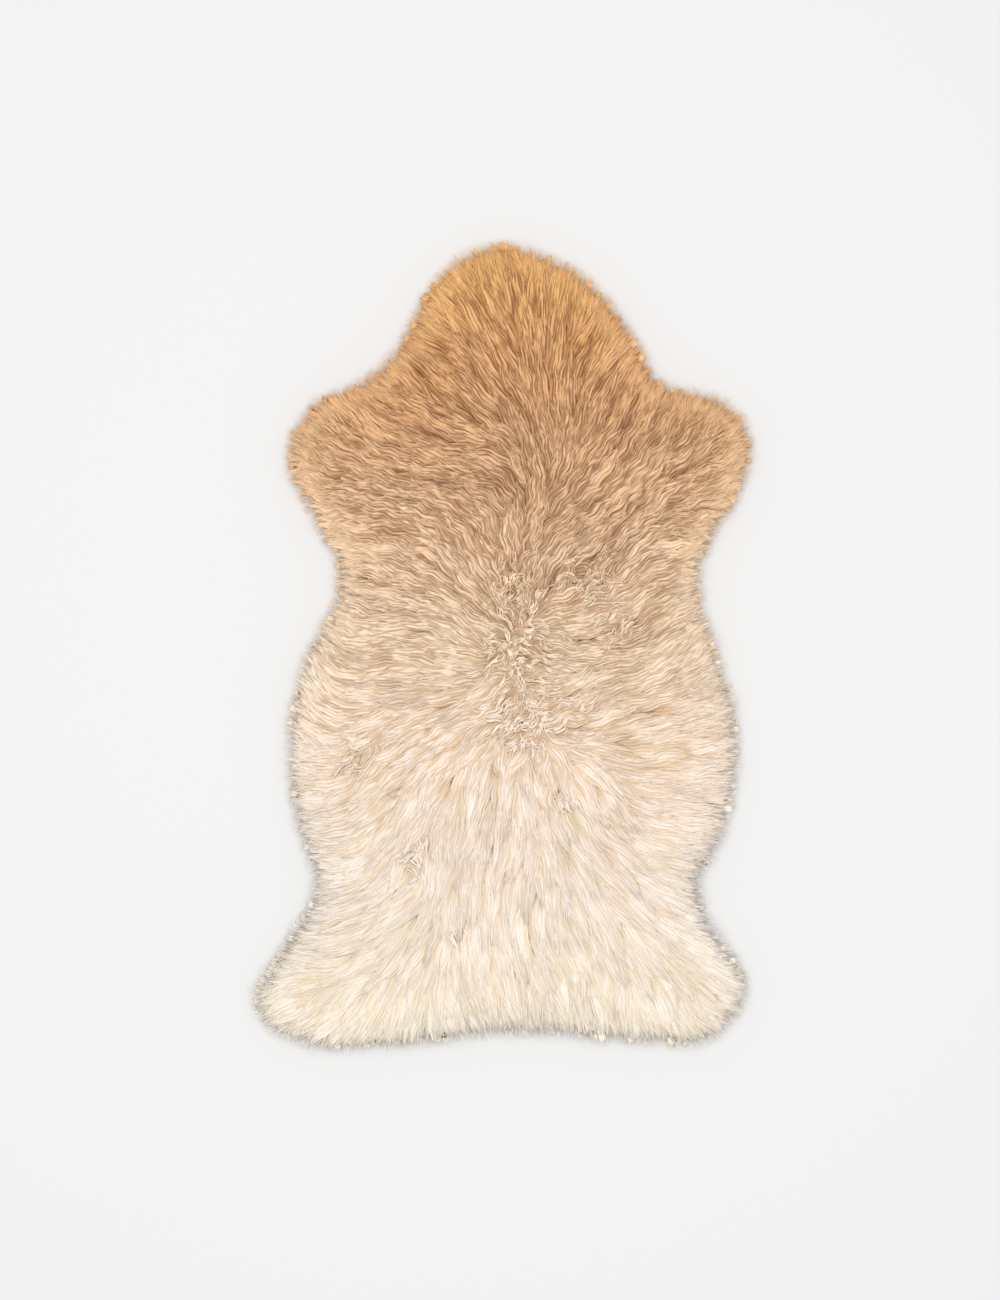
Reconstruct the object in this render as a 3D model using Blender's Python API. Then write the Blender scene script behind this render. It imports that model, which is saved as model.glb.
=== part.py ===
"""A sheepskin rug of one whole pelt, lying flat. Metres, +Z up.

The rug is one piece, a tanned hide that keeps its own long wool, so it is one closed solid: flat under
the hide, and elsewhere as wide and as high as the tips of the wool reach. +Y points to the neck, and
the origin is at floor level, under the middle of the rug.
"""

from math import pi, radians

import bmesh
import bpy
import numpy as np
from mathutils import Matrix, Vector, noise

MM = 0.001

# The outline at the tips of the wool, clockwise from above. x and y in mm.
OUTLINE = (
    # place, x, y
    ("left_neck", -85, 430),
    ("neck_crown", -10, 480),
    ("neck_right_top", 60, 465),
    ("right_neck", 115, 430),
    ("right_neck_low", 160, 370),
    ("right_collar", 195, 315),
    ("right_shoulder_top", 265, 295),
    ("right_shoulder", 300, 250),
    ("right_shoulder_low", 285, 180),
    ("right_armpit", 250, 120),
    ("right_waist", 240, 75),
    ("right_ribs", 260, 0),
    ("right_flank", 285, -100),
    ("right_flank_low", 270, -220),
    ("right_groin", 240, -295),
    ("right_thigh", 270, -355),
    ("right_leg", 295, -405),
    ("right_toe", 280, -445),
    ("right_foot", 240, -475),
    ("right_rump", 185, -475),
    ("rump_notch", 0, -465),
    ("left_rump", -140, -480),
    ("left_foot", -240, -475),
    ("left_leg", -295, -430),
    ("left_thigh", -265, -365),
    ("left_groin", -225, -290),
    ("left_flank_low", -245, -210),
    ("left_flank", -255, -125),
    ("left_ribs", -240, -30),
    ("left_waist", -195, 85),
    ("left_armpit", -225, 155),
    ("left_shoulder", -255, 225),
    ("left_shoulder_top", -230, 285),
    ("left_collar", -155, 325),
    ("left_neck_low", -115, 370),
)
OUTLINE_STEPS = 24  # points between two places of the outline

# The fleece is a grid. Its corners are at these places, and its rows bend to follow the ends of the rug.
CORNERS = ("left_neck", "right_neck", "right_foot", "left_foot")
GRID = (40, 72)  # squares across the rug and along it
EDGE_CROWDING = 0.5  # 0 spaces the grid evenly, 1 draws it close to the outline
END_BEND = 90  # how far from each end the rows still bend, in mm

# Heights above the floor, in mm.
CROWN_HEIGHT = 52
RIM_HEIGHT = 14  # where the fleece is widest
ROLL_WIDTH = 58  # from the outline to where the fleece reaches its full height

# Below its widest line the fleece turns in under itself. Widths and drops in mm.
UNDERCUT = (
    # inward, down
    (8, 10),
    (14, 4),
)

# Soft hollows where the wool parts, breaks or curls. Angles in degrees from +X, the rest in mm.
HOLLOWS = (
    # place, x, y, angle, half length, half width, depth
    ("left_shoulder_crease", -170, 205, -45, 30, 12, 7),
    ("left_rib_parting", -220, -90, -60, 35, 12, 6),
    ("left_flank_whorl", -175, -140, 90, 20, 15, 8),
    ("withers_break", 5, 195, 15, 60, 15, 9),
    ("withers_ridge_foot", 85, 210, 35, 45, 15, 7),
    ("spine", 35, -20, 90, 120, 30, 8),
    ("right_rib_tufts", 145, -90, 95, 85, 20, 6),
    ("right_rib_break", 115, 70, 20, 45, 15, 5),
    ("left_rump_tuft", -95, -260, 70, 35, 15, 6),
    ("rump_tuft", -50, -350, 80, 25, 12, 6),
    ("loin_break", -15, -160, 100, 35, 15, 5),
)

# The tops of the locks lie in low, uneven tufts, in mm.
TUFT_SPACING = 42
TUFT_HEIGHT = 4

WOOL_SHADE = (0.73, 0.56, 0.38, 1)
WOOL_ROUGHNESS = 0.9


def clear_scene():
    for thing in list(bpy.data.objects):
        bpy.data.objects.remove(thing, do_unlink=True)


def new_collection(name):
    collection = bpy.data.collections.new(name)
    bpy.context.scene.collection.children.link(collection)
    return collection


def outline_ring(helpers):
    """The outline as a closed ring of points, read off a smooth curve through its places."""
    curve = bpy.data.curves.new("pelt_outline", "CURVE")
    curve.resolution_u = OUTLINE_STEPS
    spline = curve.splines.new("BEZIER")
    spline.bezier_points.add(len(OUTLINE) - 1)
    spline.use_cyclic_u = True
    for knot, (_, x, y) in zip(spline.bezier_points, OUTLINE):
        knot.co = (x * MM, y * MM, 0)
        knot.handle_left_type = knot.handle_right_type = "AUTO"
    guide = bpy.data.objects.new("pelt_outline", curve)
    guide.display_type = "WIRE"
    guide.hide_render = True
    helpers.objects.link(guide)
    bpy.context.view_layer.update()
    ring = np.array([vert.co.xy for vert in guide.to_mesh().vertices])
    guide.to_mesh_clear()
    middle = (ring.min(axis=0) + ring.max(axis=0)) / 2
    guide.location = (-middle[0], -middle[1], 0)
    return ring - middle


def side(ring, start, end):
    """The stretch of the ring from one place of the outline to another, clockwise."""
    places = [row[0] for row in OUTLINE]
    first, last = (places.index(place) * OUTLINE_STEPS for place in (start, end))
    count = (last - first) % len(ring)
    return ring[(first + np.arange(count + 1)) % len(ring)]


def grid_shares(squares):
    """Where the grid's lines lie between two sides, from 0 to 1, closer together near the outline."""
    even = np.linspace(0, 1, squares + 1)
    crowded = (1 - np.cos(pi * even)) / 2
    return (1 - EDGE_CROWDING) * even + EDGE_CROWDING * crowded


def levels_along(path, shares):
    """How far along the rug the points at these shares of a path's length are."""
    steps = np.linalg.norm(np.diff(path, axis=0), axis=1)
    reached = np.concatenate([[0], np.cumsum(steps)]) / steps.sum()
    return np.interp(shares, reached, path[:, 1])


def fleece_grid(ring):
    """Where the grid's corners lie. Its rows run straight across, and bend near the neck and the rump."""
    left_neck, right_neck, right_foot, left_foot = CORNERS
    top = side(ring, left_neck, right_neck)
    right = side(ring, right_neck, right_foot)[::-1]
    bottom = side(ring, right_foot, left_foot)[::-1]
    left = side(ring, left_foot, left_neck)
    across, lengthways = (grid_shares(squares) for squares in GRID)
    level = (levels_along(left, lengthways) + levels_along(right, lengthways)) / 2
    start, end = (np.interp(level, edge[:, 1], edge[:, 0]) for edge in (left, right))
    x = start + (end - start) * across[:, None]
    y = np.tile(level, (len(across), 1))
    for edge, row in ((bottom, 0), (top, -1)):
        bend = np.interp(x[:, row], edge[:, 0], edge[:, 1]) - level[row]
        fade = np.clip(1 - abs(level - level[row]) / (END_BEND * MM), 0, 1)
        y += bend[:, None] * fade
    return np.stack([x, y], axis=-1)


def hollow_depth(x, y):
    """How far the wool's partings and breaks lower the fleece at a place, in mm."""
    depth = 0.0
    for _, middle_x, middle_y, angle, half_length, half_width, deepest in HOLLOWS:
        along = Matrix.Rotation(radians(-angle), 2) @ Vector((x - middle_x, y - middle_y))
        depth += deepest * np.exp(-((along.x / half_length) ** 2) - (along.y / half_width) ** 2)
    return depth


def fleece_height(x, y, inset):
    """How high the wool's tips lie at a place, this far in from the outline. All in mm."""
    turn = min(inset / ROLL_WIDTH, 1)
    rounded = (turn * (2 - turn)) ** 0.5
    tufts = TUFT_HEIGHT * noise.noise((x / TUFT_SPACING, y / TUFT_SPACING, 0))
    top = CROWN_HEIGHT + tufts - hollow_depth(x, y)
    return RIM_HEIGHT + (top - RIM_HEIGHT) * rounded


def build_pelt(ring):
    """The closed mesh of the pelt: the fleece's grid, and under its rim the turned-in edge and flat base."""
    bm = bmesh.new()
    across, lengthways = GRID
    bmesh.ops.create_grid(bm, x_segments=across, y_segments=lengthways, size=0.5)
    places = fleece_grid(ring)
    for vert in bm.verts:
        column = round((vert.co.x + 0.5) * across)
        row = round((vert.co.y + 0.5) * lengthways)
        place = places[column, row]
        inset = 0 if vert.is_boundary else np.linalg.norm(ring - place, axis=1).min()
        height = fleece_height(*(place / MM), inset / MM)
        vert.co = (*place, height * MM)
    rim = [edge for edge in bm.edges if edge.is_boundary]
    base = bmesh.ops.edgeloop_fill(bm, edges=rim)["faces"][0]
    bmesh.ops.recalc_face_normals(bm, faces=bm.faces)
    for inward, down in UNDERCUT:
        bmesh.ops.inset_individual(
            bm, faces=[base], thickness=inward * MM, depth=down * MM, use_even_offset=True
        )
    mesh = bpy.data.meshes.new("fleece_pelt")
    bm.to_mesh(mesh)
    bm.free()
    mesh.shade_smooth()
    return mesh


def wool_material():
    material = bpy.data.materials.new("sheep's wool on tanned hide")
    material.use_nodes = True
    shader = material.node_tree.nodes["Principled BSDF"]
    shader.inputs["Base Color"].default_value = WOOL_SHADE
    shader.inputs["Roughness"].default_value = WOOL_ROUGHNESS
    shader.inputs["Metallic"].default_value = 0
    return material


def main():
    clear_scene()
    rug = new_collection("sheepskin_rug")
    helpers = new_collection("helpers")
    pelt = bpy.data.objects.new("fleece_pelt", build_pelt(outline_ring(helpers)))
    pelt.data.materials.append(wool_material())
    rug.objects.link(pelt)


main()
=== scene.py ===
"""The looks of the sheepskin rug: its hide, the dense underwool and the long combed locks.

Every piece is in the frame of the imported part: metres, +Z up, +Y to the neck, the floor at zero. The form
of the fleece is read from the part's own pelt, and the wool grows on it as the tables below comb it.
"""

from math import radians

import bmesh
import bpy
import numpy as np
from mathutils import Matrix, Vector, noise
from mathutils.bvhtree import BVHTree


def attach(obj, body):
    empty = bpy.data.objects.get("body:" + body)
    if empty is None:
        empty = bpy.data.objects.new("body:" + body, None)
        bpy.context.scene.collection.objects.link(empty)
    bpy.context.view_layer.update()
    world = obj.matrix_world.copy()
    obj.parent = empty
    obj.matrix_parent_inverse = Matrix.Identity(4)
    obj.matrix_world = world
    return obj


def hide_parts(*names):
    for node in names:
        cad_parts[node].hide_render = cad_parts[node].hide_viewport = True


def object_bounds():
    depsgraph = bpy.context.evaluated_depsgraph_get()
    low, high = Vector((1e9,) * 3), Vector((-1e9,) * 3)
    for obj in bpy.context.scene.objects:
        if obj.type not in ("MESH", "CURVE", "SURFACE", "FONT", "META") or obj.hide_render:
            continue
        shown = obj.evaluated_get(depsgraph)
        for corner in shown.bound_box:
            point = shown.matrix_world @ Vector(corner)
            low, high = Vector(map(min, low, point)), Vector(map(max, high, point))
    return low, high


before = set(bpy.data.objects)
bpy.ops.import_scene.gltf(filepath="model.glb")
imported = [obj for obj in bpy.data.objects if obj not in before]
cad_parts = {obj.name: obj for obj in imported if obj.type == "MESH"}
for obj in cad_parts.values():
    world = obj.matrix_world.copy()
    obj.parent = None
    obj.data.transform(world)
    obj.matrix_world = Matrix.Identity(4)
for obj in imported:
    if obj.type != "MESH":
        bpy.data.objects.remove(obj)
cad_box = [list(corner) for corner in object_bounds()]

MM = 0.001
TINY = 1e-9  # keeps a division from being by zero
SEED = 7

# The pelt, in mm.
RIM_HEIGHT = 14  # where the pelt is widest
CROWN_HEIGHT = 52
ONE_LEVEL = 0.01  # heights that differ by less than this are the same
MERGED = 0.001  # points nearer each other than this are one
HIDE_THICKNESS = 2.2

# The dense underwool, in mm.
UNDERWOOL_SHARE = 0.84  # how much of the fleece's height it fills
UNDERWOOL_PULL = 10  # how far it stays back from the outline
PULL_REACH = 20  # how far in from the outline it is still pulled back
HIDE_GAP = 0.2  # how far it stays above the hide
UNDERWOOL_TUFTS = (
    # size, height
    (9, 1.0),
    (4, 0.6),
)

# The locks, in mm. A lock is a tongue of several strands that lies in the fleece: it comes up out of it,
# is highest at its crown, and its tip sinks in again between its neighbours.
LOCKS = (
    # layer, spacing, length, width, strands, rings, least and greatest depth of the crown
    ("under", 29, 88, 27, 6, 7, 2.2, 3.6),
    ("upper", 22.6, 92, 21, 5, 20, 0.0, 1.8),
)
RIM_LOCKS = (
    # layer, spacing along the rim, reach in from it, length, width, strands, rings, lowest and highest share
    # of the fleece's height, least and greatest reach past the outline
    ("crown", 6, 22, 54, 9, 3, 9, 0.9, 1.0, -5, 3),
    ("side", 6, 14, 46, 9, 3, 7, 0.5, 0.88, -5, 3),
    ("skirt", 8, 14, 44, 9, 3, 6, 0.15, 0.5, -3, 4),
)
LOCK_OVERHANG = (-5, 3)  # how far the tips of the other locks may reach past the outline

# The way of a lock through the fleece, in mm.
PATH_STEPS = 24
ROOT_INSET = 12  # from the outline in to the outermost roots
CROWN_PLACE = 0.62  # share of a lock's length, from its root
ROOT_DROP = 6
TIP_DROP = 2.2
RIM_LOFT = 11  # how far above the pelt's widest line the locks go out over the outline
RIM_FALL = 0.8  # how steeply they fall there
LOFT_REACH = 10  # from the outline in to where they leave the pelt's own form
LOWEST_LOCK = 2.5  # how near the floor the middle of a lock may come
LOWEST_WOOL = 1.0  # how near the floor any wool may come

# How the locks differ: shares of their length and width, and angles in degrees.
LENGTHS = (0.8, 1.15)
WIDTHS = (0.8, 1.15)
COVERED = 0.94  # how much ground a lock covers, once it has waved
STRAY = 4  # how far it turns away from the combing
BEND = 12  # how far it bends over its length
TUFT_TINT = 0.3  # how much of its tint it shares with its tuft

# What a full curl adds: it is shorter and covers less ground, and it strays, bends and swings far more.
CURL_SHORTER = 0.35
CURL_COVERED = 0.3
CURL_STRAY = 10
CURL_BEND = 8
CURL_SWING = 0.8

# The strands of a tongue. Ends and gaps are shares of the lock's length, and lifts, notch and wander are
# shares of a strand's width.
STRAND_ENDS = (0.82, 1.0)
VALLEY_GAPS = (0.05, 0.13)  # how much sooner the valleys between the strands end
SIDE_GAPS = (0.08, 0.16)  # how much sooner the sides of the tongue end
STRAND_LIFTS = (0.24, 0.46)  # how far a strand stands up
NOTCH = 0.2  # how deep the deepest valley is
WANDER = 0.14  # how far a strand wanders sideways
LOOSENESS = 0.2  # how far out of step with its lock a strand waves, in radians
NARROWING = 0.6  # how much of its width a tongue loses towards its tip
RIM_NARROWING = 0.9
SIDE_SINK = 1.3  # the sides and tips of a tongue turn down into the wool below it, in mm
TIP_SINK = 1.8
SHARP_ANGLE = 60  # edges that turn further than this are creases, in degrees

# The curls and the soft edge of the rug, in mm: wisps on short locks of their own.
CURL_SPACING = 9
CURL_INSET = 20  # curls stay this far in from the outline
CURL_LENGTH = 44
CURL_DEPTHS = (-2.5, 0.5)  # of the crown: most curls stand a little above the combed wool
CURL_OVERHANG = (-4, 3)
LEAST_CURLINESS = 0.15  # where the wool curls less than this, no curls grow
FUZZ_SPACING = 1.0
FUZZ_REACH = 18
FUZZ_LENGTH = 50
FUZZ_LEVELS = (0.1, 1.0)  # shares of the fleece's height
FUZZ_OVERHANG = (-3, 8)
FUZZ_SWING = 0.3  # the loose ends at the rim are nearly straight

TUFT_SPACING = 46  # neighbouring locks wave together in tufts of about this size
WAVELENGTH = 29
# How strongly the strands wave along the rug, in mm.
WAVES = (
    # y, how far they swing to each side
    (-480, 0.7), (-300, 0.8), (-120, 1.1), (40, 1.4), (160, 2.6), (230, 2.0), (320, 0.8), (480, 0.5),
)

# The wool is one piece for each of these parts of the rug.
PIECES = ("neck", "shoulders", "ribs", "flanks", "rump")

# How the wool was combed: the way its tips point, in degrees from +X. Places in mm.
COMB_REACH = 28  # how far each place of the table counts
RIM_TURN = 0.75  # how much the way out over the rim counts at the outline
RIM_TURN_FADE = 30  # how slowly that fades from the outline in
COMB = (
    # row, y, then an x and a direction for each place
    ("neck", 430, (-85, 135), (-10, 105), (80, 80)),
    ("nape", 350, (-100, 145), (0, 120), (60, 85), (130, 55)),
    ("collar", 290, (-180, 135), (-90, 140), (0, 125), (60, 95), (150, 60), (230, 65)),
    ("shoulders", 240, (-220, 142), (-110, 160), (-25, 170), (40, 108), (110, 55), (190, 52), (270, 35)),
    ("withers", 190, (-210, 165), (-110, 165), (-30, 178), (25, 110), (80, 42), (170, 45), (245, 18)),
    ("below the withers", 145, (-200, 180), (-115, 170), (-50, 130), (10, 95), (70, 25), (150, 45), (230, 8)),
    ("armpits", 95, (-180, 168), (-100, 148), (-30, 112), (35, 80), (90, 35), (140, 50), (215, 8)),
    ("waist", 45, (-200, 152), (-120, 180), (-50, 155), (115, 0), (145, 50), (220, 25)),
    ("ribs", -10, (-225, 125), (-150, 190), (-80, 158), (70, 350), (130, 5), (190, 35), (250, 32)),
    ("low ribs", -65, (-230, 120), (-170, 190), (-100, 190), (-35, 205), (100, 45), (160, 12), (245, 14)),
    ("upper flanks", -120, (-230, 165), (-160, 215), (-90, 220), (-10, 242), (115, 350), (185, 15), (260, 5)),
    ("flanks", -180, (-225, 190), (-155, 225), (-90, 245), (-10, 260), (50, 285), (115, 295), (200, 355)),
    ("low flanks", -245, (-215, 175), (-150, 228), (-70, 258), (10, 262), (85, 300), (140, 325), (215, 350)),
    ("groin", -305, (-215, 190), (-135, 215), (-55, 265), (25, 257), (95, 285), (155, 312), (220, 343)),
    ("thighs", -370, (-245, 172), (-175, 202), (-105, 235), (-35, 278), (40, 290), (120, 292), (195, 310),
     (255, 340)),
    ("rump", -440, (-265, 217), (-190, 232), (-115, 262), (-40, 285), (40, 280), (120, 278), (195, 292),
     (265, 325)),
)

# Where the locks curl every way instead of lying combed, in mm.
CURLS = (
    # place, x, y, half width, half length, strength
    ("upper spine", 15, 60, 30, 40, 1.0),
    ("spine", 15, -10, 45, 45, 1.0),
    ("lower spine", 25, -90, 45, 45, 1.0),
    ("right loops", 100, 80, 30, 25, 0.9),
    ("right ribs", 135, 20, 25, 20, 0.8),
    ("right loin", 85, -80, 30, 30, 0.6),
    ("left flank whorl", -175, -135, 20, 25, 1.0),
    ("left rump", -105, -255, 20, 30, 0.9),
    ("loin", 75, -190, 20, 15, 0.7),
    ("rump notch", -50, -350, 15, 20, 0.4),
)

# Colours along the rug: of the wool's tips; painted shade for the depths between the locks; and painted light
# round the rim, lighter and more golden as if lit through the thin wool.
SHADES = (
    # y in mm, tips, painted shade of the depths, painted light of the rim
    (470, "EABA74", "8A4A0E", "F0C27C"),
    (310, "E5B582", "7E4818", "ECC08C"),
    (150, "E9C8A4", "885A2E", "EECFAA"),
    (10, "EFDDC6", "AE885E", "F2E0C8"),
    (-130, "EBE1D8", "D0B28E", "EEE3D5"),
    (-300, "E6DFDA", "D8C4A6", "EBE3DA"),
    (-480, "E9E2D9", "DAC8A6", "EBE4D6"),
)
RIM_LIGHT_REACH = 70  # how far in from the outline the painted light round the rim reaches, in mm
HOLLOW_SHADE_DEPTHS = (2, 10)  # how far below the crown painted shade begins to darken the wool, and darkens it fully, in mm
ROLL_ENDS = (40, 60)  # further in from the outline than this, lower wool lies in a hollow and takes painted shade, in mm

# Patterns in the wool: their width across the strands in mm, and how often they change along a lock and
# from one strand to the next. Single fibres are too fine to show, so they are drawn this coarse.
FIBRES = (0.91, 2.5, 7)
GAPS = (5, 4, 2)
PATCH_SIZE = 111  # broad patches of a slightly different shade, in mm
PATCH_SHIFT = 40  # from how far along the rug they take it, in mm

# The tanned hide, in mm. Its nap is too fine to show, so it is drawn this coarse.
MOTTLE_SIZE = 55.5
NAP_SIZE = 1.2
NAP_HEIGHT = 0.3

# The stage, in metres.
FLOOR_REACH = 6
FLOOR_DROP = 0.0005  # the floor lies just under the rug, so that the two don't meet
SOFTBOX_SIZE = 4
SOFTBOX_PLACE = (-0.1, 0.1, 5)
SOFTBOX_WATTS = 262
WORLD_STRENGTH = 0.55
CAMERA_PLACE = (-0.0031, -0.0036, 4)  # straight above the rug, as far off as a studio stand
FRAMED_LENGTH = 1.56
SENSOR_HEIGHT = 36  # in mm


def linear(colour):
    """An sRGB hex colour as linear RGBA."""
    parts = [int(colour[i:i + 2], 16) / 255 for i in (0, 2, 4)]
    return [c / 12.92 if c <= 0.04045 else ((c + 0.055) / 1.055) ** 2.4 for c in parts] + [1]


# ---------------------------------------------------------------- the form of the fleece


def pelt_triangles():
    """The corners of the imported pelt's triangles, one row of three points each."""
    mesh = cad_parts["fleece_pelt"].data
    points = np.empty(len(mesh.vertices) * 3)
    mesh.vertices.foreach_get("co", points)
    corners = np.empty(len(mesh.loops), int)
    mesh.loops.foreach_get("vertex_index", corners)
    return points.reshape(-1, 3)[corners].reshape(-1, 3, 3)


def outline_edges(triangles):
    """The edges round the pelt's widest line, seen from above, and the way out from each."""
    level = abs(triangles[:, :, 2] - RIM_HEIGHT * MM) < ONE_LEVEL * MM
    below = triangles[:, :, 2].min(axis=1) < (RIM_HEIGHT - ONE_LEVEL) * MM
    starts, runs, ways = [], [], []
    for triangle, on_rim in zip(triangles[below][:, :, :2], level[below]):
        if on_rim.sum() == 2:
            start, end = triangle[on_rim]
            inner = triangle[~on_rim][0]
            run = end - start
            way = np.array([run[1], -run[0]]) / np.linalg.norm(run)
            starts.append(start)
            runs.append(run)
            ways.append(way if way @ (inner - start) < 0 else -way)
    return np.array(starts), np.array(runs), np.array(ways)


TRIANGLES = pelt_triangles()
EDGE_STARTS, EDGE_RUNS, EDGE_WAYS = outline_edges(TRIANGLES)
ON_EDGE = 0.3  # in mm: a place as near the outline as this takes the edge's own way out


def rim(places, batch=20000):
    """How far in from the outline each place is, negative outside it, and the way out to the nearest rim."""
    insets, ways = [], []
    for first in range(0, len(places), batch):
        to = places[first:first + batch, None] - EDGE_STARTS
        share = np.clip((to * EDGE_RUNS).sum(-1) / (EDGE_RUNS ** 2).sum(-1), 0, 1)
        gap = to - share[..., None] * EDGE_RUNS
        distance = np.linalg.norm(gap, axis=-1)
        nearest = distance.argmin(axis=1)
        rows = np.arange(len(nearest))
        least = distance[rows, nearest][:, None]
        level = (to[..., 1] >= 0) != (to[..., 1] - EDGE_RUNS[:, 1] >= 0)
        rise = np.where(EDGE_RUNS[:, 1] == 0, 1, EDGE_RUNS[:, 1])
        crossed = level & (to[..., 0] < to[..., 1] * EDGE_RUNS[:, 0] / rise)
        sign = np.where(crossed.sum(axis=1) % 2 == 1, 1, -1)[:, None]
        way = -sign * gap[rows, nearest] / np.maximum(least, TINY)
        insets.append((sign * least)[:, 0])
        ways.append(np.where(least > ON_EDGE * MM, way, EDGE_WAYS[nearest]))
    return np.concatenate(insets), np.concatenate(ways)


class Field:
    """Values on a fine grid of places over the rug, read between them."""

    step = 4 * MM
    margin = 24 * MM

    def __init__(self, values_at):
        low, high = (np.array(corner[:2]) for corner in cad_box)
        self.low = low - self.margin
        self.counts = np.ceil((high - low + 2 * self.margin) / self.step).astype(int) + 1
        grid = np.stack(np.meshgrid(*(np.arange(count) for count in self.counts), indexing="ij"), axis=-1)
        places = self.low + self.step * grid.reshape(-1, 2)
        self.values = values_at(places).reshape(*self.counts, -1)

    def at(self, places):
        spot = np.clip((places - self.low) / self.step, 0, self.counts - 1.001)
        cell = spot.astype(int)
        (i, j), (u, v) = cell.T, (spot - cell).T[..., None]
        values = self.values
        return (
            (values[i, j] * (1 - u) + values[i + 1, j] * u) * (1 - v)
            + (values[i, j + 1] * (1 - u) + values[i + 1, j + 1] * u) * v
        )


def pelt_heights(places):
    """The height of the pelt's top at each place, and of its rim outside it."""
    tree = BVHTree.FromPolygons(
        [Vector(point) for point in TRIANGLES.reshape(-1, 3)],
        [(3 * i, 3 * i + 1, 3 * i + 2) for i in range(len(TRIANGLES))],
    )
    down = Vector((0, 0, -1))
    hits = (tree.ray_cast(Vector((x, y, 1)), down)[0] for x, y in places)
    return np.array([hit.z if hit else RIM_HEIGHT * MM for hit in hits])


def unit(vectors):
    """The same vectors, each of length 1."""
    return vectors / np.maximum(np.linalg.norm(vectors, axis=-1, keepdims=True), TINY)


def headings(places):
    """The way the wool lies at each place: as it was combed, and outwards close to the rim."""
    spots = np.array([(x, y) for _, y, *cells in COMB for x, _ in cells], float)
    angles = np.radians([way for _, _, *cells in COMB for _, way in cells])
    ways = np.stack([np.cos(angles), np.sin(angles)], axis=1)
    away = ((places[:, None] / MM - spots) ** 2).sum(-1)
    weights = np.exp((away.min(axis=1, keepdims=True) - away) / (2 * COMB_REACH ** 2))
    inset, way_out = rim(places)
    turn = np.clip(RIM_TURN - inset / (RIM_TURN_FADE * MM), 0, RIM_TURN)[:, None]
    return unit(unit(weights @ ways) * (1 - turn) + way_out * turn)


def curliness(places):
    """How much the locks curl at each place, from 0 to 1."""
    found = np.zeros(len(places))
    for _, x, y, half_width, half_length, strength in CURLS:
        away = (places / MM - (x, y)) / (half_width, half_length)
        found = np.maximum(found, strength * np.exp(-(away ** 2).sum(-1)))
    return found


HEIGHTS = Field(pelt_heights)
INSETS = Field(lambda places: rim(places)[0])
HEADINGS = Field(headings)


def painted_shade_shown(places):
    """How much painted shade darkens the wool at each place, from 0 to 1: in the hollows and among the curls.
    """
    below = CROWN_HEIGHT - HEIGHTS.at(places)[:, 0] / MM
    hollow = np.interp(below, HOLLOW_SHADE_DEPTHS, (0, 1))
    off_the_roll = np.interp(INSETS.at(places)[:, 0] / MM, ROLL_ENDS, (0, 1))
    return np.maximum(hollow * off_the_roll, curliness(places))


PAINTED_SHADE_SHOWN = Field(painted_shade_shown)


def normals(places):
    """The way straight out of the fleece at each place, over a slope of a few steps of the grid."""
    reach = 1.5 * Field.step
    slopes = [
        (HEIGHTS.at(places + reach * axis) - HEIGHTS.at(places - reach * axis))[:, 0] / (2 * reach)
        for axis in np.eye(2)
    ]
    return unit(np.stack([-slopes[0], -slopes[1], np.ones(len(places))], axis=1))


def scattered(rng, spacing, least_inset):
    """Places over the pelt in a jittered pattern of even density, no nearer its outline than this. In mm."""
    row_share, jitter = 0.87, 0.45
    low, high = (np.array(corner[:2]) for corner in cad_box)
    step = spacing * MM
    across, along = np.meshgrid(
        np.arange(low[0], high[0], step), np.arange(low[1], high[1], step * row_share), indexing="ij"
    )
    across = across + step / 2 * (np.arange(across.shape[1]) % 2)
    places = np.stack([across.ravel(), along.ravel()], axis=1)
    places += rng.uniform(-jitter, jitter, places.shape) * step
    inset, _ = rim(places)
    return places[inset > least_inset * MM]


def along_rim(rng, spacing, reach):
    """Places all round the outline, up to this far in from it. In mm."""
    lengths = np.linalg.norm(EDGE_RUNS, axis=1)
    ends = np.cumsum(lengths)
    marks = np.arange(0, ends[-1], spacing * MM)
    edge = np.searchsorted(ends, marks)
    share = 1 - (ends[edge] - marks) / lengths[edge]
    depth = rng.uniform(0.2, 1, len(marks)) * reach * MM
    return EDGE_STARTS[edge] + share[:, None] * EDGE_RUNS[edge] - depth[:, None] * EDGE_WAYS[edge]


# ---------------------------------------------------------------- the wool


TUFTS = scattered(np.random.default_rng(SEED), TUFT_SPACING, least_inset=-30)
TUFT_PHASES = np.random.default_rng(SEED).uniform(0, 2 * np.pi, len(TUFTS))
TUFT_TINTS = np.random.default_rng(SEED + 1).uniform(-1, 1, len(TUFTS))


def turned(vectors, angles):
    """Vectors seen from above, each turned by its own angle."""
    c, s = np.cos(angles), np.sin(angles)
    return np.stack([c * vectors[:, 0] - s * vectors[:, 1], s * vectors[:, 0] + c * vectors[:, 1]], -1)


def along_path(path, shares):
    """Points on each path at these shares of it. Shares may have several rows for each path."""
    spot = np.clip(shares, 0, 1) * (path.shape[1] - 1)
    cell = np.minimum(spot.astype(int), path.shape[1] - 2)
    rows = np.arange(len(path)).reshape((-1,) + (1,) * (shares.ndim - 1))
    between = (spot - cell)[..., None]
    return path[rows, cell] * (1 - between) + path[rows, cell + 1] * between


def combed_lines(middles, step, stray, bend):
    """A line through each place along the combing: a lock's length back from it and half of one on."""

    def trace(steps, onward):
        places = [middles]
        for count in range(steps):
            heading = turned(unit(HEADINGS.at(places[-1])), stray + onward * bend * count / PATH_STEPS)
            places.append(places[-1] + onward * heading * step[:, None])
        return np.stack(places, axis=1)

    return np.concatenate([trace(PATH_STEPS, -1)[:, :0:-1], trace(PATH_STEPS // 2, 1)], axis=1)


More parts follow.
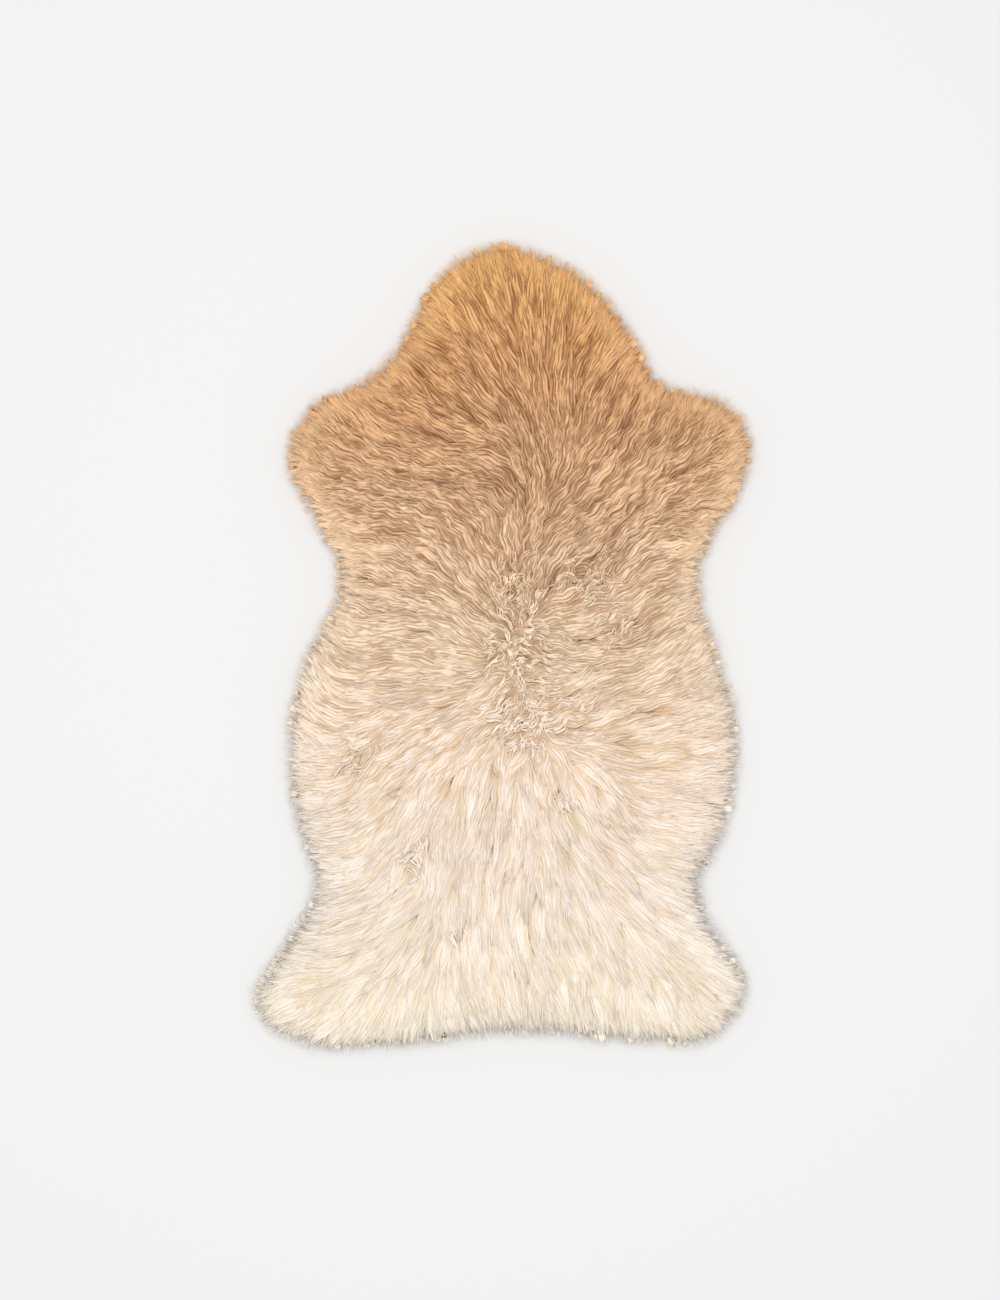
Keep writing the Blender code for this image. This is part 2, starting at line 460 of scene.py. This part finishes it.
def lock_ends(rng, lines, overhang):
    """Where each lock starts and ends on its line: its tip stops by the rim, and its root on the pelt."""
    count, points = lines.shape[:2]
    inset = INSETS.at(lines.reshape(-1, 2)).reshape(count, -1)
    steps = np.arange(points)
    shortest = PATH_STEPS // 3
    out = (inset < -rng.uniform(*overhang, count)[:, None] * MM) & (steps >= PATH_STEPS // 2)
    last = np.where(out.any(axis=1), out.argmax(axis=1), points - 1)
    bare = (inset < ROOT_INSET * MM) & (steps < last[:, None] - shortest)
    first = np.where(bare.any(axis=1), points - bare[:, ::-1].argmax(axis=1), 0)
    return np.maximum(np.minimum(first, last - shortest), last - PATH_STEPS), last


def fleece_top(places):
    """How high the fleece is at each place of each lock. Round the rim it stands out from the pelt's form."""
    flat = places.reshape(-1, 2)
    inset, surface = (field.at(flat).reshape(places.shape[:-1]) for field in (INSETS, HEIGHTS))
    lofted = (RIM_HEIGHT + RIM_LOFT) * MM + RIM_FALL * np.minimum(inset, LOFT_REACH * MM)
    return np.maximum(np.where(inset < 0, 0, surface), lofted)


def lock_drop(share):
    """How far below its crown a lock lies at each share of its length, in mm."""
    to_root = np.clip(1 - share / CROWN_PLACE, 0, 1)
    to_tip = np.clip((share - CROWN_PLACE) / (1 - CROWN_PLACE), 0, 1)
    return ROOT_DROP * to_root ** 2 + TIP_DROP * to_tip ** 2


class Locks:
    """The middle line of each lock, from inside the fleece to its tip, and what its strands share."""

    def __init__(self, rng, middles, length, level=1, depth=0, overhang=LOCK_OVERHANG):
        count = len(middles)
        curl = curliness(middles)
        length = length * MM * rng.uniform(*LENGTHS, count) * (1 - CURL_SHORTER * curl)
        stray = rng.normal(0, 1, count) * radians(STRAY) * (1 + CURL_STRAY * curl)
        bend = rng.normal(0, 1, count) * radians(BEND) * (1 + CURL_BEND * curl)
        lines = combed_lines(middles, length * (COVERED - CURL_COVERED * curl) / PATH_STEPS, stray, bend)
        first, last = lock_ends(rng, lines, overhang)
        share = np.linspace(0, 1, PATH_STEPS + 1)
        shares = (first[:, None] + (last - first)[:, None] * share) / (lines.shape[1] - 1)
        places = along_path(lines, shares)
        self.length = length * (last - first) / PATH_STEPS
        level, depth = (np.broadcast_to(value, count)[:, None] for value in (level, depth))
        height = fleece_top(places) * level - (depth + lock_drop(share)) * MM
        height = np.maximum(height, LOWEST_LOCK * MM)
        self.path = np.concatenate([places, height[..., None]], axis=-1)
        # Locks of one tuft wave together, and their tints are alike.
        tuft = ((middles[:, None] - TUFTS) ** 2).sum(-1).argmin(axis=1)
        self.tint = TUFT_TINT * TUFT_TINTS[tuft] + (1 - TUFT_TINT) * rng.uniform(-1, 1, count)
        own = unit(self.path[:, -1, :2] - self.path[:, 0, :2])
        onward = ((middles - TUFTS[tuft]) * own).sum(-1) - self.length / 2
        self.phase = 2 * np.pi * onward / (WAVELENGTH * MM) + TUFT_PHASES[tuft]
        table = np.array(WAVES, float)
        swing = np.interp(middles[:, 1] / MM, table[:, 0], table[:, 1])
        self.swing = swing * (1 + CURL_SWING * curl) * MM


def square_to(line):
    """The sideways and upwards directions square to each line of points over the fleece."""
    normal = normals(line[..., :2].reshape(-1, 2)).reshape(line.shape)
    tangent = unit(np.gradient(line, axis=-2))
    side = unit(np.cross(tangent, normal))
    return side, np.cross(side, tangent)


def wave(locks, lock, shares, loose):
    """How far the strands of these locks swing sideways at each share of their length."""
    turn = 2 * np.pi * shares * (locks.length / (WAVELENGTH * MM))[lock] + locks.phase[lock] + loose
    return locks.swing[lock] * np.sin(turn) * np.clip(shares, 0, 1) ** 0.5


def between_strands(values):
    """The same values with each valley's set to the mean of the strands beside it."""
    values[:, 2:-2:2] = (values[:, 1:-2:2] + values[:, 3::2]) / 2
    return values


def strand_ends(rng, count, place):
    """How far along its lock each column of a tongue ends: strands in points, valleys sooner."""
    ends = rng.uniform(*STRAND_ENDS, (count, len(place), 1)) * (1 - 0.1 * place ** 2)
    valleys = np.minimum(ends[:, 1:-2:2], ends[:, 3::2])
    ends[:, 2:-2:2] = valleys - rng.uniform(*VALLEY_GAPS, valleys.shape)
    ends[:, [0, -1]] = ends[:, [1, -2]] - rng.uniform(*SIDE_GAPS, (count, 2, 1))
    return ends


def tongue_faces(columns, rings):
    """The faces of one tongue. Its points lie column by column, and the last one is under its tip."""
    at = np.arange(columns * rings).reshape(columns, rings)
    top = np.stack([at[:-1, :-1], at[1:, :-1], at[1:, 1:], at[:-1, 1:]], axis=-1).reshape(-1, 4)
    base = np.stack([at[-1, :-1], at[0, :-1], at[0, 1:], at[-1, 1:]], axis=-1)
    under = np.full(columns, columns * rings)
    tip = np.stack([under, at[:, -1], np.roll(at[:, -1], -1)], axis=-1)
    root = np.stack([np.full(columns - 2, at[0, 0]), at[2:, 0], at[1:-1, 0]], axis=-1)
    return np.concatenate([top, base]), np.concatenate([tip, root])


class Tongues:
    """One tongue to a lock: strands side by side, joined along the valleys between them, in a low arch.

    Its points lie in columns from root to tip, one for each strand and each valley, and in rings across it.
    """

    def __init__(self, rng, locks, width, strands, rings, narrowing=NARROWING):
        count, columns = len(locks.path), 2 * strands + 1
        crest = (np.arange(columns) % 2)[:, None]
        place = np.linspace(-1, 1, columns)[:, None]
        ends = strand_ends(rng, count, place)
        ring = np.linspace(0, 1, rings)
        shares = ends * ring
        rows = np.arange(count)[:, None, None]
        middle = along_path(locks.path, shares)
        side, up = square_to(middle)
        # The lock is widest at its middle, and its strands wander and draw together towards the tip.
        wide = (0.75 + 0.25 * np.sin(np.pi * np.clip(shares * 1.2, 0, 1))) * (1 - narrowing * shares ** 3)
        wide = wide * (rng.uniform(*WIDTHS, count) * width / 2 * MM)[:, None, None]
        pitch = width / strands * MM
        wander = between_strands(rng.normal(0, WANDER * pitch, (count, columns, 1)) * crest)
        loose = between_strands(rng.normal(0, LOOSENESS, (count, columns, 1)) * crest)
        notch = rng.uniform(0, 1, (count, columns, 1)) ** 0.6 * (1 - crest)
        lift = (rng.uniform(*STRAND_LIFTS, (count, columns, 1)) * crest - NOTCH * notch) * pitch
        sink = (SIDE_SINK * abs(place) ** 4 + TIP_SINK * ring ** 6) * MM
        # A ring swings as one but for the strands' looseness, so that strands side by side never cross.
        swung = wave(locks, rows, ends.mean(axis=1, keepdims=True) * ring, loose)
        sideways = place * wide + wander * shares * 2 + swung
        upwards = (1 - place ** 2) * 0.08 * wide + lift * (1 - 0.4 * shares) - sink
        grid = middle + side * sideways[..., None] + up * upwards[..., None]
        # The tip is closed from a point just under its valleys, so that nothing shows beside a curved lock.
        under = grid[:, ::2, -1].mean(axis=1, keepdims=True) - (0, 0, TIP_SINK * MM)
        self.points = np.concatenate([grid.reshape(count, -1, 3), under], axis=1)
        self.points[..., 2] = np.maximum(self.points[..., 2], LOWEST_WOOL * MM)
        tint = 0.6 * locks.tint[:, None, None] + 0.4 * rng.uniform(-1, 1, (count, columns, 1))
        # The wool is palest on the strands in a tongue's middle; painted shade darkens the valleys, the
        # tongue's sides, the hollows and the wool among the curls, and the crest value carries it.
        shown = PAINTED_SHADE_SHOWN.at(middle[..., :2].reshape(-1, 2)).reshape(shares.shape)
        pale = (crest + 0.5 * (1 - crest) * (1 - notch)) * (1 - 0.75 * place ** 2)
        on_grid = {
            "along": shares,
            "crest": pale * (1 - 0.6 * shown),
            "shade": between_strands(tint),
            "across": place * width / 2,
        }
        # The point under the tip takes the values of the middle column's end.
        self.values = {}
        for label, value in on_grid.items():
            value = np.broadcast_to(value, shares.shape)
            end = value[:, columns // 2, -1, None]
            self.values[label] = np.concatenate([value.reshape(count, -1), end], axis=1)
        self.quads, self.triangles = tongue_faces(columns, rings)
        self.parted = np.append(np.repeat(np.arange(columns) % 2 == 0, rings), False)
        self.tips = middle[:, columns // 2, -1]


def wisp_faces(rings):
    """The faces of one wisp. Its points lie ring by ring, and the last one is its tip."""
    sides = [
        (3 * r + k, 3 * r + (k + 1) % 3, 3 * r + 3 + (k + 1) % 3, 3 * r + 3 + k)
        for r in range(rings - 1)
        for k in range(3)
    ]
    last, tip = 3 * (rings - 1), 3 * rings
    point = [(last + k, last + (k + 1) % 3, tip) for k in range(3)]
    root = [(2, 1, 0)]
    return np.array(sides), np.array(point + root)


class Wisps:
    """Thin single strands, several to a lock: rings of three corners along the length, and a tip."""

    def __init__(self, rng, locks, per_lock, width, spread, rings, stray=1.0):
        lock = np.repeat(np.arange(len(locks.path)), per_lock)
        count = len(lock)
        ring = np.linspace(0, 1, rings + 1)
        start = rng.uniform(0, 0.25, count)[:, None]
        shares = start + (rng.uniform(0.8, 1.0, count)[:, None] - start) * ring
        middle = along_path(locks.path[lock], shares)
        side, up = square_to(middle)
        # The wisps of a lock start spread out, swing with it, draw together towards its tip and stray there.
        together = (1 - 0.7 * shares ** 2)[..., None] * spread * MM
        sideways = rng.uniform(-1, 1, count)[:, None, None] * together
        upwards = rng.uniform(0, 1, count)[:, None, None] * 0.12 * together + 0.3 * width * MM
        loose = rng.normal(0, 0.8, count)[:, None]
        sideways = sideways + wave(locks, lock[:, None], shares, loose)[..., None]
        drift = rng.normal(0, 1, (2, count, 1, 1)) * stray * (shares ** 2)[..., None] * MM
        middle = middle + side * (sideways + 2.2 * drift[0]) + up * (upwards + 0.8 * abs(drift[1]))
        side, up = square_to(middle)
        roll = rng.normal(0, 0.35, count)[:, None, None]
        side, up = side * np.cos(roll) + up * np.sin(roll), up * np.cos(roll) - side * np.sin(roll)
        taper = (0.6 + 0.4 * np.minimum(ring / 0.3, 1)) * (1 - ring ** 2.5)
        half = (rng.uniform(0.7, 1.25, count) * width * MM / 2)[:, None, None] * taper[:, None]
        corners = np.stack([middle - side * half, middle + up * half * 0.8, middle + side * half], axis=2)
        size = 3 * rings + 1
        self.points = np.concatenate([corners[:, :-1].reshape(count, 3 * rings, 3), middle[:, -1:]], axis=1)
        self.points[..., 2] = np.maximum(self.points[..., 2], LOWEST_WOOL * MM)
        tint = np.clip(0.5 * locks.tint[lock] + 0.5 * rng.uniform(-1, 1, count), -1, 1)
        self.values = {
            "along": np.concatenate([np.repeat(shares[:, :-1], 3, axis=1), shares[:, -1:]], axis=1),
            "crest": np.ones((count, size)),
            "shade": np.repeat(tint[:, None], size, axis=1),
            "across": np.repeat(rng.uniform(-4, 4, count)[:, None], size, axis=1),
        }
        self.quads, self.triangles = wisp_faces(rings)
        self.parted = np.zeros(size, bool)
        self.tips = middle[:, -1]


def joined(groups):
    """The chosen tongues and wisps as one: points, which of them lie in valleys, faces and values."""
    points, parted, quads, triangles, values = [], [], [], [], {}
    total = 0
    for group, chosen in groups:
        own = group.points[chosen]
        count, size = own.shape[:2]
        first = total + np.arange(count)[:, None, None] * size
        points.append(own.reshape(-1, 3))
        parted.append(np.tile(group.parted, count))
        quads.append((group.quads + first).reshape(-1, 4))
        triangles.append((group.triangles + first).reshape(-1, 3))
        for label, rows in group.values.items():
            values.setdefault(label, []).append(rows[chosen].ravel())
        total += count * size
    points, parted, quads, triangles = (np.concatenate(rows) for rows in (points, parted, quads, triangles))
    values = {label: np.concatenate(rows) for label, rows in values.items()}
    return points, parted, quads, triangles, values


def mesh_of(name, points, quads, triangles):
    """A mesh of these points and faces, the quads first."""
    mesh = bpy.data.meshes.new(name)
    mesh.vertices.add(len(points))
    mesh.vertices.foreach_set("co", points.ravel())
    loops = np.concatenate([quads.ravel(), triangles.ravel()])
    mesh.loops.add(len(loops))
    mesh.loops.foreach_set("vertex_index", loops)
    starts = np.concatenate([np.arange(len(quads)) * 4, quads.size + np.arange(len(triangles)) * 3])
    mesh.polygons.add(len(starts))
    mesh.polygons.foreach_set("loop_start", starts)
    mesh.update(calc_edges=True)
    mesh.validate()
    return mesh


def crease(mesh, parted, smooth_faces):
    """Creases along the valleys, so that each strand looks round. The faces that close the ends are flat."""
    mesh.set_sharp_from_angle(angle=radians(SHARP_ANGLE))
    ends = np.empty(2 * len(mesh.edges), int)
    mesh.edges.foreach_get("vertices", ends)
    sharp = np.empty(len(mesh.edges), bool)
    mesh.edges.foreach_get("use_edge_sharp", sharp)
    mesh.edges.foreach_set("use_edge_sharp", sharp | parted[ends].reshape(-1, 2).all(axis=1))
    mesh.polygons.foreach_set("use_smooth", np.arange(len(mesh.polygons)) < smooth_faces)


def give_values(mesh, values, inset):
    """What the wool's material reads at each point, with how near the outline it is, from 0 to 1, which sets
    the painted light round the rim.
    """
    edge = np.clip(1 - inset / (RIM_LIGHT_REACH * MM), 0, 1)
    for label, value in {**values, "edge": edge}.items():
        attribute = mesh.attributes.new(label, "FLOAT", "POINT")
        attribute.data.foreach_set("value", np.full(len(inset), value, float))


def piece_of(mesh, material):
    """A piece of the rug, or of the stage, from a finished mesh."""
    mesh.materials.append(material)
    piece = bpy.data.objects.new(mesh.name, mesh)
    bpy.context.scene.collection.objects.link(piece)
    return piece


def wool_piece(name, groups, material):
    """One joined mesh of the chosen tongues and wisps."""
    points, parted, quads, triangles, values = joined(groups)
    mesh = mesh_of(name, points, quads, triangles)
    crease(mesh, parted, smooth_faces=len(quads))
    give_values(mesh, values, INSETS.at(points[:, :2])[:, 0])
    return piece_of(mesh, material)


# ---------------------------------------------------------------- materials


def new_material(name):
    """A new material and its shader."""
    material = bpy.data.materials.new(name)
    material.use_nodes = True
    return material, material.node_tree.nodes["Principled BSDF"]


def node(tree, kind, links=(), **settings):
    """A node with its settings, and links into its inputs: pairs of an input and the socket that feeds it."""
    made = tree.nodes.new(kind)
    for name, value in settings.items():
        if name.startswith("in_"):
            key = name[3:]
            made.inputs[int(key) if key.isdigit() else key].default_value = value
        else:
            setattr(made, name, value)
    for target, source in links:
        tree.links.new(source, made.inputs[target])
    return made


def shade_ramp(tree, position, column):
    """One column of the shades, along the rug."""
    ramp = node(tree, "ShaderNodeValToRGB", [("Fac", position)])
    rows = sorted((row[0], row[column]) for row in SHADES)
    low, high = rows[0][0], rows[-1][0]
    elements = ramp.color_ramp.elements
    while len(elements) < len(rows):
        elements.new(0.5)
    for element, (y, colour) in zip(elements, rows):
        element.position = (y - low) / (high - low)
        element.color = linear(colour)
    return ramp.outputs["Color"]


def mapped(tree, value, from_low, from_high, to_low, to_high, smooth=False):
    """A value moved from one range to another."""
    made = node(tree, "ShaderNodeMapRange", [("Value", value)])
    made.interpolation_type = "SMOOTHSTEP" if smooth else "LINEAR"
    names = ("From Min", "From Max", "To Min", "To Max")
    for name, level in zip(names, (from_low, from_high, to_low, to_high)):
        made.inputs[name].default_value = level
    return made.outputs["Result"]


def product(tree, *factors):
    """The product of several values."""
    result = factors[0]
    for factor in factors[1:]:
        result = node(tree, "ShaderNodeMath", [(0, result), (1, factor)], operation="MULTIPLY").outputs[0]
    return result


def streaks(tree, strand, pattern, detail):
    """A pattern of streaks that lie along the strands."""
    width, along_lock, strand_to_strand = pattern
    scale = (1 / width, along_lock, strand_to_strand)
    stretched = node(tree, "ShaderNodeVectorMath", [(0, strand)], operation="MULTIPLY", in_1=scale)
    lines = [("Vector", stretched.outputs[0])]
    return node(tree, "ShaderNodeTexNoise", lines, in_Scale=1.0, in_Detail=detail).outputs["Fac"]


def wool_material():
    """Washed, combed sheep's wool: soft and matt, pale on the crests, with painted shade, deeper and warmer,
    between them and near the roots, and painted light round the rim.
    """
    material, shader = new_material("combed long sheep's wool")
    tree = material.node_tree
    place = node(tree, "ShaderNodeTexCoord").outputs["Object"]
    y = node(tree, "ShaderNodeSeparateXYZ", [("Vector", place)]).outputs["Y"]
    patch_scale = 1 / (PATCH_SIZE * MM)
    patchy = node(tree, "ShaderNodeTexNoise", [("Vector", place)], in_Scale=patch_scale, in_Detail=2.0)
    shift = mapped(tree, patchy.outputs["Fac"], 0, 1, -PATCH_SHIFT * MM, PATCH_SHIFT * MM)
    moved = node(tree, "ShaderNodeMath", [(0, y), (1, shift)], operation="ADD").outputs[0]
    position = mapped(tree, moved, SHADES[-1][0] * MM, SHADES[0][0] * MM, 0, 1)
    # The tips' own colours, painted shade for the depths between the locks, and painted light for the rim.
    tips, painted_depth_shade, edges = (shade_ramp(tree, position, column) for column in (1, 2, 3))
    along, crest, shade, across, edge = (
        node(tree, "ShaderNodeAttribute", attribute_name=name).outputs["Fac"]
        for name in ("along", "crest", "shade", "across", "edge")
    )
    # Fine fibres, and gaps: here and there painted shade darkens the strands along a gap between them.
    strand = node(tree, "ShaderNodeCombineXYZ", [("X", across), ("Y", along), ("Z", shade)]).outputs[0]
    streak = mapped(tree, streaks(tree, strand, FIBRES, 3.0), 0.3, 0.7, 0.65, 1.0)
    painted_gap_shade = mapped(tree, streaks(tree, strand, GAPS, 1.0), 0.38, 0.56, 0.4, 1.0, True)
    # The colour of the tips shows on the crests and away from the roots; painted shade darkens the valleys,
    # the roots and the gaps.
    painted_root_shade = mapped(tree, along, 0, 0.5, 0.6, 1, True)
    painted_valley_shade = mapped(tree, crest, 0, 0.65, 0, 1, True)
    pale = product(tree, painted_root_shade, painted_valley_shade, streak, painted_gap_shade)
    mixed = node(tree, "ShaderNodeMix", [(0, pale), (6, painted_depth_shade), (7, tips)], data_type="RGBA")
    # Painted light round the rim: lighter and more golden there, as if lit through the thin wool.
    painted_rim_light_share = mapped(tree, edge, 0.4, 0.95, 0, 0.9, True)
    with_painted_rim_light = node(tree, "ShaderNodeMix", [(0, painted_rim_light_share), (6, mixed.outputs[2]), (7, edges)], data_type="RGBA")
    # Each strand is a little lighter or darker than the next.
    level = mapped(tree, shade, -1, 1, 0.86, 1.05)
    shaded = node(tree, "ShaderNodeVectorMath", [(0, with_painted_rim_light.outputs[2]), (3, level)], operation="SCALE")
    tree.links.new(shaded.outputs[0], shader.inputs["Base Color"])
    shader.inputs["Roughness"].default_value = 0.8
    shader.inputs["Sheen Weight"].default_value = 0.1
    shader.inputs["Sheen Roughness"].default_value = 0.5
    shader.inputs["IOR"].default_value = 1.54
    return material


def suede_material():
    """Tanned flesh side: matt cream suede with a fine nap and faint mottling."""
    material, shader = new_material("tanned suede hide")
    tree = material.node_tree
    place = node(tree, "ShaderNodeTexCoord").outputs["Object"]
    mottle_scale, nap_scale = 1 / (MOTTLE_SIZE * MM), 1 / (NAP_SIZE * MM)
    mottle = node(tree, "ShaderNodeTexNoise", [("Vector", place)], in_Scale=mottle_scale, in_Detail=5.0)
    ramp = node(tree, "ShaderNodeValToRGB", [("Fac", mottle.outputs["Fac"])])
    ramp.color_ramp.elements[0].color = linear("C9B08C")
    ramp.color_ramp.elements[1].color = linear("E4D3B6")
    nap = node(tree, "ShaderNodeTexNoise", [("Vector", place)], in_Scale=nap_scale, in_Detail=3.0)
    rough = [("Height", nap.outputs["Fac"])]
    bump = node(tree, "ShaderNodeBump", rough, in_Strength=0.4, in_Distance=NAP_HEIGHT * MM)
    tree.links.new(ramp.outputs["Color"], shader.inputs["Base Color"])
    tree.links.new(bump.outputs["Normal"], shader.inputs["Normal"])
    shader.inputs["Roughness"].default_value = 0.9
    return material


def floor_material():
    """Matt pale studio floor."""
    material, shader = new_material("matt painted floor")
    shader.inputs["Base Color"].default_value = linear("D2D2D2")
    shader.inputs["Roughness"].default_value = 0.9
    shader.inputs["Specular IOR Level"].default_value = 0.1
    return material


# ---------------------------------------------------------------- the pieces


def piece_from(bm, name, material):
    """A piece from a bmesh, which is then freed."""
    mesh = bpy.data.meshes.new(name)
    bm.to_mesh(mesh)
    bm.free()
    return piece_of(mesh, material)


def merged_pelt():
    """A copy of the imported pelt's mesh with its triangles joined."""
    bm = bmesh.new()
    bm.from_mesh(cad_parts["fleece_pelt"].data)
    bmesh.ops.remove_doubles(bm, verts=bm.verts, dist=MERGED * MM)
    return bm


def make_hide(material):
    """The hide: the pelt's flat base, as a sheet."""
    bm = merged_pelt()
    walls = [face for face in bm.faces if max(vert.co.z for vert in face.verts) > ONE_LEVEL * MM]
    bmesh.ops.delete(bm, geom=walls, context="FACES")
    bmesh.ops.dissolve_limit(bm, angle_limit=radians(1), verts=bm.verts, edges=bm.edges)
    grown = bmesh.ops.extrude_face_region(bm, geom=bm.faces[:])
    top = [part for part in grown["geom"] if isinstance(part, bmesh.types.BMVert)]
    bmesh.ops.translate(bm, verts=top, vec=(0, 0, HIDE_THICKNESS * MM))
    bmesh.ops.recalc_face_normals(bm, faces=bm.faces)
    return piece_from(bm, "hide", material)


def make_underwool(material):
    """The dense undercoat under the locks: the pelt's form, lower and drawn in, in small woolly tufts."""
    bm = merged_pelt()
    bmesh.ops.subdivide_edges(bm, edges=bm.edges, cuts=1, use_grid_fill=True)
    places = np.array([vert.co.xy for vert in bm.verts])
    inset, way_out = rim(places)
    for vert, depth, out in zip(bm.verts, inset, way_out):
        back = UNDERWOOL_PULL * MM * np.exp(-max(depth, 0) / (PULL_REACH * MM))
        tuft = sum(height * noise.noise(vert.co / (size * MM)) for size, height in UNDERWOOL_TUFTS)
        vert.co.xy -= Vector(out) * back
        lifted = vert.co.z * UNDERWOOL_SHARE + (MM * tuft if vert.co.z > RIM_HEIGHT * MM else 0)
        vert.co.z = max((HIDE_THICKNESS + HIDE_GAP) * MM, lifted)
    bmesh.ops.recalc_face_normals(bm, faces=bm.faces)
    piece = piece_from(bm, "underwool", material)
    piece.data.shade_smooth()
    # It takes the colour of wool near its root, between a crest and a valley: partly the painted shade of the
    # depths.
    give_values(piece.data, {"along": 0.3, "crest": 0.4, "shade": 0, "across": 0}, inset)
    return piece


def wool_groups(rng):
    """The tongues and wisps of all the wool: combed locks, curls, the locks round the rim and a soft edge."""
    groups = []
    for _, spacing, length, width, strands, rings, low, high in LOCKS:
        places = scattered(rng, spacing, least_inset=0)
        depth = rng.uniform(low, high, len(places))
        locks = Locks(rng, places, length, depth=depth)
        groups.append(Tongues(rng, locks, width, strands, rings))
    groups.append(Wisps(rng, locks, per_lock=2, width=1.5, spread=9, rings=12))
    places = scattered(rng, CURL_SPACING, CURL_INSET)
    places = places[curliness(places) > rng.uniform(LEAST_CURLINESS, 1, len(places))]
    depth = rng.uniform(*CURL_DEPTHS, len(places))
    curls = Locks(rng, places, CURL_LENGTH, depth=depth, overhang=CURL_OVERHANG)
    groups.append(Wisps(rng, curls, per_lock=4, width=2.3, spread=3.5, rings=10))
    for _, spacing, reach, length, width, strands, rings, low, high, *overhang in RIM_LOCKS:
        places = along_rim(rng, spacing, reach)
        level = rng.uniform(low, high, len(places))
        locks = Locks(rng, places, length, level=level, overhang=overhang)
        groups.append(Tongues(rng, locks, width, strands, rings, narrowing=RIM_NARROWING))
    places = along_rim(rng, FUZZ_SPACING, FUZZ_REACH)
    level = rng.uniform(*FUZZ_LEVELS, len(places))
    fuzz = Locks(rng, places, FUZZ_LENGTH, level=level, overhang=FUZZ_OVERHANG)
    fuzz.swing *= FUZZ_SWING
    groups.append(Wisps(rng, fuzz, per_lock=2, width=0.6, spread=3, rings=3, stray=2.0))
    return groups


def make_wool(material):
    """All the wool, in one piece for each part of the rug, each with about as many triangles."""
    groups = wool_groups(np.random.default_rng(SEED))
    ends = np.concatenate([group.tips[:, 1] for group in groups])
    sizes = np.concatenate([np.full(len(g.points), 2 * len(g.quads) + len(g.triangles)) for g in groups])
    order = np.argsort(-ends)
    filled = np.cumsum(sizes[order]) / sizes.sum()
    cuts = ends[order][np.searchsorted(filled, np.arange(1, len(PIECES)) / len(PIECES))]
    cuts = np.concatenate([[np.inf], cuts, [-np.inf]])
    pieces = []
    for name, high, low in zip(PIECES, cuts, cuts[1:]):
        chosen = [(group, (group.tips[:, 1] <= high) & (group.tips[:, 1] > low)) for group in groups]
        pieces.append(wool_piece("wool_" + name, chosen, material))
    return pieces


# ---------------------------------------------------------------- the stage


def make_stage():
    """A pale floor in soft light from all round, with one large lamp overhead."""
    bm = bmesh.new()
    bmesh.ops.create_grid(bm, x_segments=1, y_segments=1, size=FLOOR_REACH)
    bmesh.ops.translate(bm, verts=bm.verts, vec=(0, 0, -FLOOR_DROP))
    piece_from(bm, "floor", floor_material())
    world = bpy.data.worlds.new("soft studio")
    bpy.context.scene.world = world
    world.use_nodes = True
    background = world.node_tree.nodes["Background"]
    background.inputs["Color"].default_value = (1, 1, 1, 1)
    background.inputs["Strength"].default_value = WORLD_STRENGTH
    lamp = bpy.data.lights.new("overhead softbox", "AREA")
    lamp.shape = "SQUARE"
    lamp.size = SOFTBOX_SIZE
    lamp.energy = SOFTBOX_WATTS
    light = bpy.data.objects.new("overhead softbox", lamp)
    light.location = SOFTBOX_PLACE
    light.rotation_euler = light.location.to_track_quat("Z", "Y").to_euler()
    bpy.context.scene.collection.objects.link(light)
    bpy.context.scene.view_settings.view_transform = "Standard"


def make_camera():
    """Straight above the rug, with its head end at the top of the picture."""
    camera = bpy.data.cameras.new("camera")
    camera.sensor_fit = "VERTICAL"
    camera.sensor_height = SENSOR_HEIGHT
    camera.lens = SENSOR_HEIGHT * CAMERA_PLACE[2] / FRAMED_LENGTH
    eye = bpy.data.objects.new("camera", camera)
    eye.location = CAMERA_PLACE
    bpy.context.scene.collection.objects.link(eye)
    bpy.context.scene.camera = eye


def main():
    make_stage()
    make_camera()
    wool = wool_material()
    hide = make_hide(suede_material())
    underwool = make_underwool(wool)
    locks = make_wool(wool)
    for piece in (hide, underwool, *locks):
        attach(piece, "root")
    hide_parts("fleece_pelt")


main()
